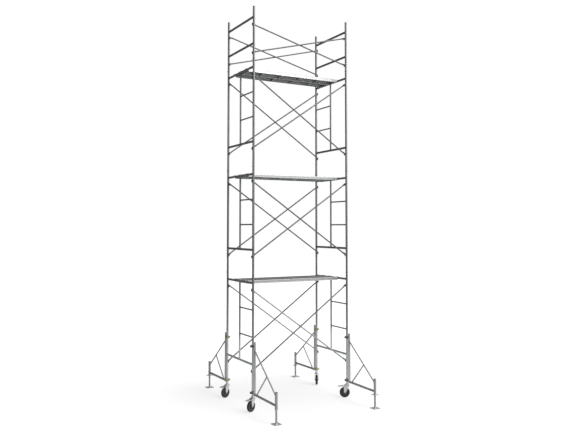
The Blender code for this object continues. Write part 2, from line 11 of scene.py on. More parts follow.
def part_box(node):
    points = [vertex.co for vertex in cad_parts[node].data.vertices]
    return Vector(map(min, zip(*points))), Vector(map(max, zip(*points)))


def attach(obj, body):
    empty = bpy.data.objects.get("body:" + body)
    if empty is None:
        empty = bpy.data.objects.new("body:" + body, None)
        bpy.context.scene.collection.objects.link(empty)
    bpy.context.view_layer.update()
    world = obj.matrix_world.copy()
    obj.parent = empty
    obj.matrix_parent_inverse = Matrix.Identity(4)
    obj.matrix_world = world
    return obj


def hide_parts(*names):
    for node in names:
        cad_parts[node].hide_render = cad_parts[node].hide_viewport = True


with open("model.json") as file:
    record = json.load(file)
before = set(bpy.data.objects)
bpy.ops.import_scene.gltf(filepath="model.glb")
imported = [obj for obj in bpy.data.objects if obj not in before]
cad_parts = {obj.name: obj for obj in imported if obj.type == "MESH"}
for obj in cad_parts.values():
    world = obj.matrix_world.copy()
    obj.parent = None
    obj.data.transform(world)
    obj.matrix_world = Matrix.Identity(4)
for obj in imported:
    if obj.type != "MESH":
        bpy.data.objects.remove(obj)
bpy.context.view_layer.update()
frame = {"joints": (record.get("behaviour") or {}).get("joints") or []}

# ---- sizes, as in the CAD source

POST_RADIUS = 0.0212
POST_WALL = 0.0026
INNER_POST_RADIUS = 0.0168
RUNG_RADIUS = 0.0135
BRACE_RADIUS = 0.0132
STRUT_RADIUS = 0.012
STUD_RADIUS = 0.007
HALF_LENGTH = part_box("base_frame_right")[1].x - POST_RADIUS
HALF_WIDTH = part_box("base_frame_right")[1].y - POST_RADIUS
LIFT_HEIGHT = 2.0
FIRST_DECK_TUBE = 2.3
DECK_TUBES = [FIRST_DECK_TUBE + i * LIFT_HEIGHT for i in range(3)]
RUNG_SPACING = 0.465
BASE_RUNG_SPACING = 0.49
JOINT_RISE = 0.09
STUD_DROP = 0.12
MID_RAIL_RISE = 0.44
TOP_RAIL_RISE = 0.94
POST_TOP_RISE = 0.2
GUARD_LOW_STUD_DROP = 0.16
POST_FOOT = 0.27
JOINT_GAP = 0.0006
BRACE_LINE = HALF_WIDTH - POST_RADIUS - 0.032  # from the middle of the tower to the braces' flat ends
BRACE_OFFSET = 0.0138
FLAT_HALF_WIDTH = 0.017
FLAT_HALF = 0.0025
DECK_WIDTH = 0.6
DECK_TOP_RISE = 0.027
DECK_DEPTH = 0.06
DECK_LOW = DECK_TOP_RISE - DECK_DEPTH
DECK_SHEET = 0.0016
DECK_END = HALF_LENGTH - POST_RADIUS - 0.01
PLANK_GAP = 0.006
PLANK_HALF = (DECK_WIDTH - PLANK_GAP) / 4
PLANK_CENTRE = (DECK_WIDTH + PLANK_GAP) / 4
UPRIGHT_OFFSET = 0.078
COUPLER_HEIGHTS = {"lower": 0.335, "upper": 1.165}
COUPLER_HALF = 0.025  # half of a coupler's height
BOLT_LINE = -0.043  # from the post's axis to the swing bolt
HINGE_LINE = 0.041
REACH = 0.91
SLEEVE_RADIUS = 0.0242
SLEEVE_LOW, SLEEVE_HIGH = 0.265, 0.535
THREAD_PITCH = 0.008
WHEEL_RADIUS = 0.1
TRAIL = 0.05
AXLE = (TRAIL, 0, WHEEL_RADIUS)  # from the foot of the swivel axis, as are all a castor's sizes
PEDAL_PIVOT = (0.052, 0.2215)
WING_ANGLES = {"front_left": 61, "front_right": -29, "rear_left": -29, "rear_right": 10}
CORNERS = {"front_left": (-1, -1), "front_right": (1, -1), "rear_left": (-1, 1), "rear_right": (1, 1)}

X, Y, Z = Vector((1, 0, 0)), Vector((0, 1, 0)), Vector((0, 0, 1))
SIDES = (-1, 1)
POST_LINES = (-HALF_WIDTH, HALF_WIDTH)
TUBE_STEPS = 28


# ---- mesh kit


def join(shapes):
    """One mesh from many closed shapes."""
    whole = bmesh.new()
    for shape in shapes:
        part = bpy.data.meshes.new("part")
        shape.to_mesh(part)
        shape.free()
        whole.from_mesh(part)
        bpy.data.meshes.remove(part)
    mesh = bpy.data.meshes.new("look")
    whole.to_mesh(mesh)
    whole.free()
    return mesh


def along_axis(origin, axis):
    """The matrix that stands a shape made along Z on an origin, along an axis."""
    return Matrix.Translation(origin) @ Vector(axis).to_track_quat("Z", "Y").to_matrix().to_4x4()


def spot(x, y, z, turn=0.0):
    """The matrix of a place, turned about Z."""
    return Matrix.Translation((x, y, z)) @ Matrix.Rotation(turn, 4, "Z")


def around(steps):
    """Evenly spaced angles in a full turn."""
    return [2 * math.pi * i / steps for i in range(steps)]


def lathe(profile, origin, axis, steps=TUBE_STEPS):
    """A closed profile of (along, radius) points turned about an axis; points at radius 0 close an end."""
    shape = bmesh.new()
    aim = along_axis(origin, axis)
    rings = []
    for along, radius in profile:
        if radius < 1e-7:
            rings.append([shape.verts.new(aim @ Vector((0, 0, along)))])
            continue
        points = [Vector((radius * math.cos(a), radius * math.sin(a), along)) for a in around(steps)]
        rings.append([shape.verts.new(aim @ point) for point in points])
    closed = len(rings[0]) > 1
    for k in range(len(rings) if closed else len(rings) - 1):
        low, high = rings[k], rings[(k + 1) % len(rings)]
        for i in range(steps):
            j = (i + 1) % steps
            corners = [low[i % len(low)], low[j % len(low)], high[j % len(high)], high[i % len(high)]]
            distinct = list(dict.fromkeys(corners))
            if len(distinct) > 2:
                shape.faces.new(distinct)
    bmesh.ops.recalc_face_normals(shape, faces=shape.faces)
    return shape


def turned(profile, origin, axis, steps=TUBE_STEPS):
    """A solid of revolution: both ends of its open profile are carried in to the axis."""
    return lathe([(profile[0][0], 0), *profile, (profile[-1][0], 0)], origin, axis, steps)


def tube(start, end, radius, wall=POST_WALL, bored=False, steps=TUBE_STEPS, depth=0.15):
    """A round tube. Bored ends have a rounded rim and a bore; the others are hidden in other parts."""
    start, end = Vector(start), Vector(end)
    length = (end - start).length
    edge = wall * 0.25
    depth = min(depth, length * 0.45)

    def rim(at, inward):
        if not bored:
            return [(at, 0), (at, radius)]
        inner, end, lip = radius - wall, at + inward * depth, at + inward * edge
        return [(end, 0), (end, inner), (lip, inner), (at, inner + edge), (at, radius - edge), (lip, radius)]

    profile = rim(0, 1) + list(reversed(rim(length, -1)))
    return lathe(profile, start, end - start, steps)


def loft(rings):
    """A skin over rings of points, with both ends capped."""
    shape = bmesh.new()
    rings = [[shape.verts.new(point) for point in ring] for ring in rings]
    for low, high in zip(rings, rings[1:]):
        for i in range(len(low)):
            j = (i + 1) % len(low)
            shape.faces.new((low[i], low[j], high[j], high[i]))
    shape.faces.new(rings[0])
    shape.faces.new(list(reversed(rings[-1])))
    bmesh.ops.recalc_face_normals(shape, faces=shape.faces)
    return shape


def sweep(points, radii, steps=8, closed=False, flat=1.0):
    """A round rod along a line of points; flat squashes its section along the local second axis."""
    points = [Vector(p) for p in points]
    count = len(points)
    if not hasattr(radii, "__len__"):
        radii = [radii] * count
    shape = bmesh.new()
    rings = []
    side = None
    for i, point in enumerate(points):
        before = points[i - 1] if (closed or i > 0) else point
        after = points[(i + 1) % count] if (closed or i < count - 1) else point
        along = (after - before).normalized()
        if side is None:
            side = along.orthogonal().normalized()
        side = (side - along * side.dot(along)).normalized()
        other = along.cross(side)
        ring = []
        for angle in around(steps):
            offset = side * math.cos(angle) + other * math.sin(angle) * flat
            ring.append(shape.verts.new(point + offset * radii[i]))
        rings.append(ring)
    shift = 0
    if closed:
        first = rings[0][0].co - points[0]
        shift = min(range(steps), key=lambda k: (rings[-1][k].co - points[-1] - first).length)
    for i in range(count if closed else count - 1):
        low, high = rings[i], rings[(i + 1) % count]
        turn = shift if i == count - 1 else 0
        for k in range(steps):
            m = (k + 1) % steps
            shape.faces.new((low[(k + turn) % steps], low[(m + turn) % steps], high[m], high[k]))
    if not closed:
        shape.faces.new(list(reversed(rings[0])))
        shape.faces.new(rings[-1])
    bmesh.ops.recalc_face_normals(shape, faces=shape.faces)
    return shape


def prism(outline, low, high, across, bevel=0.0):
    """An outline of (a, b) points pulled from low to high along an axis, with its edges rounded."""
    at = "XYZ".index(across)
    shape = bmesh.new()
    near, far = ([shape.verts.new((*p[:at], t, *p[at:])) for p in outline] for t in sorted((low, high)))
    shape.faces.new(near)
    shape.faces.new(far)
    for i in range(len(outline)):
        j = (i + 1) % len(outline)
        shape.faces.new((near[i], near[j], far[j], far[i]))
    bmesh.ops.recalc_face_normals(shape, faces=shape.faces)
    if bevel:
        sharp = [e for e in shape.edges if e.calc_face_angle(0) > math.radians(32)]
        bmesh.ops.bevel(shape, geom=sharp, offset=bevel, segments=2, affect="EDGES", clamp_overlap=True)
    return shape


def block(corner, opposite, bevel=0.0008):
    """A box between two opposite corners."""
    (x0, x1), (y0, y1), (z0, z1) = (sorted(pair) for pair in zip(corner, opposite))
    return prism([(x0, y0), (x1, y0), (x1, y1), (x0, y1)], z0, z1, "Z", bevel)


def arc(centre, radius, start, end, steps):
    angles = [start + (end - start) * i / steps for i in range(steps + 1)]
    return [(centre[0] + radius * math.cos(a), centre[1] + radius * math.sin(a)) for a in angles]


def rounded(x0, x1, y0, y1, radius, steps):
    """The outline of a rectangle with round corners."""
    near, far = (x0 + radius, y0 + radius), (x1 - radius, y1 - radius)
    outline = []
    for k, centre in enumerate((far, (near[0], far[1]), near, (far[0], near[1]))):
        outline += arc(centre, radius, k * math.pi / 2, (k + 1) * math.pi / 2, steps)
    return outline


def hexagon(origin, axis, radius, height, turn=0.0):
    """A hexagon nut or bolt head with a chamfered top."""
    shape = turned([(0, radius), (height * 0.85, radius), (height, radius * 0.9)], (0, 0, 0), Z, 6)
    shape.transform(along_axis(origin, axis) @ spot(0, 0, 0, turn))
    return shape


def bead(meeting, post_axis, post_radius, direction, radius, size=0.0024):
    """A rippled weld bead where a tube meets a larger or equal one, whose axes cross at meeting."""
    meeting, p, d = Vector(meeting), Vector(post_axis).normalized(), Vector(direction).normalized()
    u = p.cross(d).normalized()
    v = d.cross(u)
    line, sizes = [], []
    for i, angle in enumerate(around(40)):
        start = u * (radius * math.cos(angle)) + v * (radius * math.sin(angle))
        w = start - p * p.dot(start)
        e = d - p * p.dot(d)
        inside = w.dot(e) ** 2 - e.length_squared * (w.length_squared - post_radius**2)
        travel = (-w.dot(e) + math.sqrt(max(inside, 0))) / e.length_squared
        line.append(meeting + start * 1.02 + d * (travel + size * 0.2))
        sizes.append(size * (1 + 0.16 * math.sin(i * math.pi / 1.5)))
    return sweep(line, sizes, 7, closed=True)


def drill(radius, origin, axis):
    """A cutter for a round hole through a plate."""
    return turned([(-0.02, radius), (0.02, radius)], origin, axis, 20)


def placed(name, data):
    """A new object in the scene."""
    made = bpy.data.objects.new(name, data)
    bpy.context.scene.collection.objects.link(made)
    return made


def cut(mesh, cutters):
    """The mesh less the cutters, by an exact boolean."""
    body = placed("body", mesh)
    helpers = [placed("cutter", join([cutter])) for cutter in cutters]
    for helper in helpers:
        step = body.modifiers.new("cut", "BOOLEAN")
        step.operation, step.solver, step.object = "DIFFERENCE", "EXACT", helper
    graph = bpy.context.evaluated_depsgraph_get()
    made = bpy.data.meshes.new_from_object(body.evaluated_get(graph))
    for used in [body, *helpers]:
        bpy.data.objects.remove(used)
    return made


# ---- materials


class Nodes:
    """A few short ways to build the nodes of a material or of the world."""

    def __init__(self, owner):
        owner.use_nodes = True
        self.owner = owner
        self.tree = owner.node_tree
        self.place = self.add("TexCoord").outputs["Object"]

    def feed(self, socket, value):
        """Link an output to the socket, or set it to a number, a vector or a colour."""
        if isinstance(value, bpy.types.NodeSocket):
            self.tree.links.new(value, socket)
        elif hasattr(value, "__len__") and len(socket.default_value) == 4:
            socket.default_value = (*value, 1)
        else:
            socket.default_value = value

    def add(self, kind, settings=None, **inputs):
        """A new node, its inputs fed by name: from_min feeds From Min."""
        node = self.tree.nodes.new("ShaderNode" + kind)
        for key, value in (settings or {}).items():
            setattr(node, key, value)
        for key, value in inputs.items():
            self.feed(node.inputs[key.replace("_", " ").title()], value)
        return node

    def stretched(self, scale):
        return self.add("Mapping", scale=scale, vector=self.place).outputs["Vector"]

    def noise(self, scale, detail=4.0, roughness=0.5, place=None):
        inputs = {"scale": scale, "detail": detail, "roughness": roughness, "vector": place or self.place}
        return self.add("TexNoise", **inputs).outputs["Fac"]

    def cells(self, scale):
        return self.add("TexVoronoi", scale=scale, vector=self.place).outputs

    def span(self, source, low, high, new_low, new_high):
        ends = {"from_min": low, "from_max": high, "to_min": new_low, "to_max": new_high}
        return self.add("MapRange", value=source, **ends).outputs["Result"]

    def mix(self, share, first, second, kind="MIX"):
        node = self.add("Mix", {"data_type": "RGBA", "blend_type": kind})
        for index, value in ((0, share), (6, first), (7, second)):
            self.feed(node.inputs[index], value)
        return node.outputs[2]

    def math(self, kind, first, second, node="Math"):
        made = self.add(node, {"operation": kind})
        for socket, value in zip(made.inputs, (first, second)):
            self.feed(socket, value)
        return made.outputs["Value"]

    def bump(self, height, distance, strength=1.0, under=None):
        node = self.add("Bump", height=height, distance=distance, strength=strength)
        if under:
            self.feed(node.inputs["Normal"], under)
        return node.outputs["Normal"]

    def finish(self, colour, roughness, normal, metallic):
        shader = self.tree.nodes["Principled BSDF"]
        looks = {"Base Color": colour, "Roughness": roughness, "Normal": normal, "Metallic": metallic}
        for key, value in looks.items():
            self.feed(shader.inputs[key], value)
        return self.owner


def surface(name):
    return Nodes(bpy.data.materials.new(f"{name}_look"))


def shade(colour, factor):
    """A colour made lighter or darker."""
    return tuple(min(1, c * factor) for c in colour)


def zinc_steel(name, dark, light, rough, metallic, spangle=170.0, streak=(60, 60, 3), foot=0.0):
    """Hot-dip zinc: angular spangle cells, cloudy dulling, faint streaks and small specks.

    With a foot, the zinc is brighter towards the floor.
    """
    n = surface(name)
    cell = n.add("SeparateColor", color=n.cells(spangle)["Color"]).outputs
    clouds = n.noise(7, 6, 0.6)
    streaks = n.noise(1.0, 3, 0.5, n.stretched(streak))
    base = n.mix(clouds, dark, light)
    tone = n.math("MINIMUM", n.span(cell["Red"], 0, 1, 0.86, 1.1), 1.0)
    base = n.mix(1.0, base, tone, "MULTIPLY")
    worn = n.span(streaks, 0.3, 0.72, 0, 1)
    base = n.mix(n.math("MULTIPLY", worn, 0.22), base, shade(dark, 0.55))
    specks = n.span(n.noise(420, 2, 0.5), 0.66, 0.72, 0, 0.5)
    base = n.mix(specks, base, shade(light, 1.5))
    if foot:
        height = n.add("SeparateXYZ", vector=n.place).outputs["Z"]
        near_floor = n.span(height, *BRIGHTER_BELOW, foot - BRIGHTER_ABOVE, 0)
        higher = n.span(height, BRIGHTER_BELOW[1], PLAIN_ABOVE, BRIGHTER_ABOVE, 0)
        base = n.mix(n.math("ADD", near_floor, higher), base, shade(light, 2.1))
    shine = n.span(cell["Green"], 0, 1, rough - 0.07, rough + 0.08)
    shine = n.math("ADD", shine, n.span(clouds, 0.3, 0.7, -0.06, 0.08))
    ripple = n.bump(n.noise(90, 3, 0.6), 0.0006, 0.5)
    grain = n.bump(cell["Blue"], 0.0001, 0.35, ripple)
    return n.finish(base, shine, grain, metallic)


def forged_steel(name, dark, light, rough, metallic=0.75):
    """Forged or cast fittings: a coarse skin with darker hollows."""
    n = surface(name)
    coarse = n.noise(85, 6, 0.65)
    patch = n.noise(18, 4, 0.55)
    base = n.mix(n.span(coarse, 0.3, 0.7, 0, 1), dark, light)
    base = n.mix(n.span(patch, 0.45, 0.7, 0, 0.4), base, shade(dark, 0.6))
    shine = n.span(coarse, 0.3, 0.7, rough + 0.12, rough - 0.08)
    skin = n.bump(coarse, 0.0006, 0.6)
    pits = n.bump(n.cells(240)["Distance"], 0.0002, 0.5, skin)
    return n.finish(base, shine, pits, metallic)


def yellow_zinc(name):
    """Yellow passivated zinc plate: gold that drifts to olive and pale green."""
    n = surface(name)
    drift = n.noise(30, 5, 0.6)
    base = n.mix(n.span(drift, 0.25, 0.5, 0, 1), (0.18, 0.165, 0.1), (0.36, 0.33, 0.2))
    base = n.mix(n.span(drift, 0.5, 0.75, 0, 1), base, (0.46, 0.45, 0.34))
    dull = n.span(n.noise(12, 4, 0.5), 0.5, 0.75, 0, 0.55)
    base = n.mix(dull, base, (0.22, 0.21, 0.17))
    shine = n.span(drift, 0.3, 0.7, 0.3, 0.48)
    skin = n.bump(n.noise(160, 4, 0.6), 0.0004, 0.5)
    return n.finish(base, shine, skin, 0.85)


def rubber(name):
    """Black rubber with a dusty bloom and scuffs."""
    n = surface(name)
    dust = n.span(n.noise(25, 6, 0.65), 0.48, 0.72, 0, 0.6)
    base = n.mix(dust, (0.009, 0.009, 0.01), (0.032, 0.031, 0.03))
    scuff = n.span(n.noise(1.0, 4, 0.7, n.stretched((220, 220, 40))), 0.6, 0.7, 0, 0.5)
    base = n.mix(scuff, base, (0.028, 0.027, 0.026))
    shine = n.span(dust, 0, 0.6, 0.55, 0.85)
    skin = n.bump(n.noise(320, 3, 0.6), 0.0004, 0.6)
    return n.finish(base, shine, skin, 0.0)


BRIGHTER_BELOW = (1.15, 1.3)  # heights between which the brighter tone of the posts' feet ends
BRIGHTER_ABOVE = 0.2  # what is left of it there
PLAIN_ABOVE = 2.4
ALONG = (3, 60, 60)  # streaks that run along a piece's own X

GALVANISED = zinc_steel("galvanised", (0.15, 0.155, 0.16), (0.28, 0.285, 0.29), 0.42, 0.85, foot=0.8)
# painted light: a lighter copy of the galvanised steel for the outrigger arms and deck claws, in place of
# the bright reflections they lack
ARM_STEEL = zinc_steel("arm", (0.24, 0.245, 0.25), (0.4, 0.405, 0.41), 0.5, 0.7)
OUTRIGGER_STEEL = zinc_steel("outrigger", (0.36, 0.37, 0.375), (0.56, 0.57, 0.575), 0.42, 0.8)
BRACE_STEEL = zinc_steel("brace", (0.1, 0.103, 0.106), (0.19, 0.193, 0.197), 0.5, 0.85, 260.0, ALONG)
# painted light: a lit copy of the brace steel, for the base's falling braces that face the light
LIT_BRACE = zinc_steel("lit_brace", (0.26, 0.263, 0.266), (0.42, 0.423, 0.427), 0.5, 0.7, 260.0, ALONG)
DECK_STEEL = zinc_steel("deck", (0.34, 0.345, 0.35), (0.46, 0.465, 0.47), 0.35, 0.6, 60.0, ALONG)
TREAD_STEEL = zinc_steel("tread", (0.07, 0.071, 0.073), (0.13, 0.132, 0.135), 0.5, 0.7, 90.0, ALONG)
# painted light: a pale, barely metallic copy of the deck steel, so the rear webs' inner faces show lit under
# the decks
LIT_WEB_STEEL = zinc_steel("lit_inner_web", (0.62, 0.63, 0.63), (0.8, 0.805, 0.81), 0.6, 0.1, 60.0, ALONG)
# painted shade: a dark sheet of steel under the planks' tops, where the channels are in shadow
SHADE_UNDERSIDE = zinc_steel("underside", (0.13, 0.13, 0.132), (0.24, 0.24, 0.242), 0.6, 0.3, 90.0, ALONG)
SCREW_STEEL = zinc_steel("screw", (0.22, 0.22, 0.215), (0.42, 0.42, 0.41), 0.36, 0.85, 300.0)
CASTOR_ZINC = zinc_steel("castor", (0.46, 0.47, 0.475), (0.68, 0.69, 0.7), 0.36, 0.75, 320.0)
CAST = forged_steel("cast", (0.13, 0.13, 0.13), (0.3, 0.3, 0.3), 0.5)
DARK = forged_steel("oxide", (0.03, 0.03, 0.032), (0.09, 0.09, 0.09), 0.45, 0.6)
NUT_STEEL = forged_steel("nut", (0.28, 0.28, 0.28), (0.46, 0.46, 0.46), 0.45)
PAINTED_RIM = forged_steel("rim", (0.015, 0.015, 0.016), (0.035, 0.035, 0.036), 0.5, 0.1)
PLATED = yellow_zinc("yellow_zinc")
RUBBER = rubber("tyre")


# ---- placing


def piece(name, mesh, material, body, nodes=(), matrix=None, angle=38):
    """A visible piece that rides on a body and stands for CAD nodes."""
    if not mesh.materials:
        mesh.materials.append(material)
        mesh.shade_smooth()
        mesh.set_sharp_from_angle(angle=math.radians(angle))
    made = placed(name, mesh)
    if matrix:
        made.matrix_world = matrix
    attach(made, body)
    if nodes:
        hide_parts(*nodes)
    return made


# ---- end frames


def level_tube(z):
    """A tube across the frame with beads where it meets the posts."""
    inset = HALF_WIDTH - POST_RADIUS * 0.5
    beads = [bead((0, y, z), Z, POST_RADIUS, (0, -y, 0), POST_RADIUS) for y in POST_LINES]
    return [tube((0, -inset, z), (0, inset, z), POST_RADIUS), *beads]


def posts(low, high):
    return [tube((0, y, low), (0, y, high), POST_RADIUS, bored=True) for y in POST_LINES]


def dimples(head):
    """The marks at a post's head where the spigot is pressed in."""
    profile = [(0, 0), (0, 0.0045), (0.0006, 0.004), (0.0009, 0)]
    places = [(s, y, head - drop) for y in POST_LINES for drop in (0.055, 0.025) for s in SIDES]
    return [lathe(profile, (s * (POST_RADIUS - 0.0003), y, z), (s, 0, 0), 12) for s, y, z in places]


def spigots(head):
    """The pins that enter the frame above: a chamfered tube with a pressed waist."""
    profile = [(-0.1, 0.0165), (0.1, 0.0165), (0.122, 0.0145), (0.124, 0.012), (0.1, 0.011)]
    return [turned(profile, (0, y, head), Z, 20) for y in POST_LINES]


def brace_studs(z):
    """The studs that the braces hook on, each with its weld at the post."""
    made = []
    root = HALF_WIDTH - POST_RADIUS * 0.6
    length = root - (BRACE_LINE - 0.02)
    profile = [(0, STUD_RADIUS), (length - 0.002, STUD_RADIUS), (length, STUD_RADIUS - 0.002)]
    for s in SIDES:
        made.append(turned(profile, (0, s * root, z), (0, -s, 0), 14))
        made.append(bead((0, s * HALF_WIDTH, z), Z, POST_RADIUS, (0, -s, 0), STUD_RADIUS, 0.0018))
    return made


def stud_locks(z):
    """A collar behind the brace, and a washer and a drop latch in front of it."""
    bore = STUD_RADIUS * 0.5
    collar = [(0, bore), (0, 0.0125), (0.0025, 0.0135), (0.003, 0.0125), (0.003, bore)]
    washer = [(0, bore), (0, 0.0165), (0.0022, 0.0165), (0.0028, 0.0155), (0.0028, bore)]
    latch = arc((0, z), 0.0135, 0, math.pi, 8) + arc((0, z - 0.03), 0.009, math.pi, 2 * math.pi, 6)
    face = BRACE_LINE - FLAT_HALF - 0.0005
    made = []
    for s in SIDES:
        made.append(lathe(collar, (0, s * (BRACE_LINE + FLAT_HALF + 0.0035), z), (0, -s, 0), 18))
        made.append(lathe(washer, (0, s * face, z), (0, -s, 0), 18))
        made.append(prism(latch, s * (face - 0.0035), s * (face - 0.0085), "Y", 0.0008))
    return made


def joint_pins(foot):
    """A cross pin with a spring ring through each post just above a joint."""
    made = []
    z = foot + 0.045
    reach = POST_RADIUS + 0.006
    end = 2 * reach
    pin = [(0, 0.007), (0.004, 0.0075), (0.005, 0.0042), (end, 0.0042), (end + 0.001, 0.003)]
    for y in POST_LINES:
        made.append(turned(pin, (-reach, y, z), X, 12))
        ring = []
        for i in range(25):
            angle = math.radians(-160 + 320 * i / 24)
            x = reach * math.cos(angle) - 0.002
            across = (POST_RADIUS + 0.0035) * math.sin(angle)
            ring.append((x, y + across, z - 0.004 * math.sin(angle / 2) ** 2))
        made.append(sweep(ring, 0.0013, 6))
    return made


def rung(z):
    """A ridged rung from the middle post to the front post."""
    made = [
        tube((0, 0, z), (0, -HALF_WIDTH + POST_RADIUS * 0.5, z), RUNG_RADIUS, steps=20),
        bead((0, 0, z), Z, INNER_POST_RADIUS, -Y, RUNG_RADIUS, 0.002),
        bead((0, -HALF_WIDTH, z), Z, POST_RADIUS, Y, RUNG_RADIUS, 0.002),
    ]
    low, high = RUNG_RADIUS - 0.001, RUNG_RADIUS + 0.0005
    ridge = [(-0.0012, low), (-0.0006, high), (0.0006, high), (0.0012, low)]
    return made + [lathe(ridge, (0, -0.07 - k * 0.052, z), Y, 20) for k in range(9)]


def with_locks(shapes, stud_heights, foot):
    """The frame's mesh with its brace studs, and the mesh of what locks on it."""
    locks = joint_pins(foot)
    for z in stud_heights:
        shapes += brace_studs(z)
        locks += stud_locks(z)
    return join(shapes), join(locks)


def ladder_frame(foot, deck_tube, spacing=RUNG_SPACING):
    lower = deck_tube - 3 * spacing
    head = deck_tube + JOINT_RISE
    shapes = posts(foot + JOINT_GAP, head - JOINT_GAP) + dimples(head) + spigots(head)
    shapes += [
        *level_tube(lower),
        *level_tube(deck_tube),
        tube((0, 0, lower), (0, 0, deck_tube), INNER_POST_RADIUS),
        bead((0, 0, lower), Y, POST_RADIUS, Z, INNER_POST_RADIUS),
        bead((0, 0, deck_tube), Y, POST_RADIUS, -Z, INNER_POST_RADIUS),
        *rung(lower + spacing),
        *rung(lower + 2 * spacing),
    ]
    return with_locks(shapes, (lower - STUD_DROP, deck_tube - STUD_DROP), foot)


def rail_frame(deck_tube):
    foot = deck_tube + JOINT_RISE
    mid, top = deck_tube + MID_RAIL_RISE, deck_tube + TOP_RAIL_RISE
    shapes = posts(foot + JOINT_GAP, top + POST_TOP_RISE) + level_tube(mid) + level_tube(top)
    return with_locks(shapes, (mid - GUARD_LOW_STUD_DROP, top - STUD_DROP), foot)


def make_frames():
    looks = {
        "base": ladder_frame(POST_FOOT, DECK_TUBES[0], BASE_RUNG_SPACING),
        "middle": ladder_frame(DECK_TUBES[0] + JOINT_RISE, DECK_TUBES[1]),
        "upper": ladder_frame(DECK_TUBES[1] + JOINT_RISE, DECK_TUBES[2]),
        "guard": rail_frame(DECK_TUBES[2]),
    }
    for level, (mesh, locks) in looks.items():
        for end, sign in (("left", -1), ("right", 1)):
            node = f"{level}_frame_{end}"
            turn = math.pi if (level, end) == ("upper", "right") else 0
            where = spot(sign * HALF_LENGTH, 0, 0, turn)
            piece(f"{node}_tubes", mesh, GALVANISED, "tower", [node], where)
            piece(f"{node}_locks", locks, DARK, "tower", (), where)


# ---- braces


def brace(length, side):
    """A tube whose ends are flattened and drilled, along X, with its tube to one side of the flats."""
    half = length / 2
    flat_start, round_start = half - 0.026, half - 0.085
    flat_power = 0.35  # the lower, the squarer the section's corners
    stations = []
    for i in range(9):
        angle = math.pi / 2 * i / 8
        x = min(half + FLAT_HALF_WIDTH * math.cos(angle), half + FLAT_HALF_WIDTH - 0.0002)
        stations.append((x, max(FLAT_HALF_WIDTH * math.sin(angle), 0.002), FLAT_HALF, 0.0, flat_power))
    stations.append((flat_start, FLAT_HALF_WIDTH, FLAT_HALF, 0.0, flat_power))
    for i in range(1, 9):
        t = i / 8
        ease = t * t * (3 - 2 * t)
        x = flat_start + (round_start - flat_start) * t
        wide = FLAT_HALF_WIDTH + (BRACE_RADIUS - FLAT_HALF_WIDTH) * ease
        deep = FLAT_HALF + (BRACE_RADIUS - FLAT_HALF) * ease
        stations.append((x, wide, deep, side * BRACE_OFFSET * ease, flat_power + (1 - flat_power) * ease))
    stations += [(-station[0], *station[1:]) for station in reversed(stations)]
    rings = []
    for x, wide, deep, y, power in stations:
        ring = []
        for angle in around(20):
            c, s = math.cos(angle), math.sin(angle)
            across = math.copysign(abs(c) ** power, c) * deep
            up = math.copysign(abs(s) ** (0.6 + 0.4 * power), s) * wide
            ring.append((x, y + across, up))
        rings.append(ring)
    return cut(join([loft(rings)]), [drill(0.0076, (end * half, 0, 0), Y) for end in SIDES])


def make_braces():
    levels = {}
    spacings = (BASE_RUNG_SPACING, RUNG_SPACING, RUNG_SPACING)
    for name, z, spacing in zip(("base", "middle", "upper"), DECK_TUBES, spacings):
        levels[name] = (z - 3 * spacing - STUD_DROP, z - STUD_DROP)
    mid_rail, top_rail = DECK_TUBES[2] + MID_RAIL_RISE, DECK_TUBES[2] + TOP_RAIL_RISE
    levels["guard"] = (mid_rail - GUARD_LOW_STUD_DROP, top_rail - STUD_DROP)
    known = {}
    for level, (low, high) in levels.items():
        rise = round(high - low, 6)
        slope = math.atan2(rise, 2 * HALF_LENGTH)
        for face, sign in (("front", -1), ("rear", 1)):
            for way, climb in (("rising", 1), ("falling", -1)):
                side = sign * climb
                # painted light: the base's falling braces get the lit copy of the brace steel
                look = LIT_BRACE if (level, way) == ("base", "falling") else BRACE_STEEL
                key = (look.name, rise, side)
                if key not in known:
                    known[key] = brace(math.hypot(2 * HALF_LENGTH, rise), side)
                node = f"{level}_brace_{face}_{way}"
                middle = spot(0, sign * BRACE_LINE, (low + high) / 2)
                where = middle @ Matrix.Rotation(-climb * slope, 4, "Y")
                piece(f"{node}_tube", known[key], look, "tower", [node], where)


# ---- decks


def tread_sheet(x0, x1, y0, y1):
    """A closed sheet with rows of low round studs pressed up from below."""
    shape = bmesh.new()
    top = DECK_TOP_RISE - DECK_SHEET
    columns, rows = round((x1 - x0) / 0.04), round((y1 - y0) / 0.0385)
    dx, dy = (x1 - x0) / columns, (y1 - y0) / rows
    known = {}

    def vertex(x, y, z):
        key = (round(x, 6), round(y, 6), round(z, 6))
        if key not in known:
            known[key] = shape.verts.new(key)
        return known[key]

    def ring(cx, cy, radius, z):
        return [vertex(cx + radius * math.cos(a), cy + radius * math.sin(a), z) for a in around(8)]

    foot, crown, lift = 0.0085, 0.005, 0.0014
    bottom = top - DECK_SHEET
    corners = ((1, 0), (1, 1), (0, 1), (-1, 1), (-1, 0), (-1, -1), (0, -1), (1, -1))
    for i in range(columns):
        for j in range(rows):
            cx, cy = x0 + (i + 0.5) * dx, y0 + (j + 0.5) * dy
            square = [vertex(cx + sx * dx / 2, cy + sy * dy / 2, top) for sx, sy in corners]
            low, high = ring(cx, cy, foot, top), ring(cx, cy, crown, top + lift)
            for k in range(8):
                m = (k + 1) % 8
                shape.faces.new((square[k], square[m], low[m], low[k]))
                shape.faces.new((low[k], low[m], high[m], high[k]))
            shape.faces.new(high)
    edges = [e for e in shape.edges if len(e.link_faces) == 1]
    under = {}
    for edge in edges:
        for v in edge.verts:
            under.setdefault(v, vertex(v.co.x, v.co.y, bottom))
    for edge in edges:
        a, b = edge.verts
        shape.faces.new((a, b, under[b], under[a]))
    rim = [e for e in shape.edges if len(e.link_faces) == 1]
    bmesh.ops.contextual_create(shape, geom=rim)
    bmesh.ops.recalc_face_normals(shape, faces=shape.faces)
    return shape


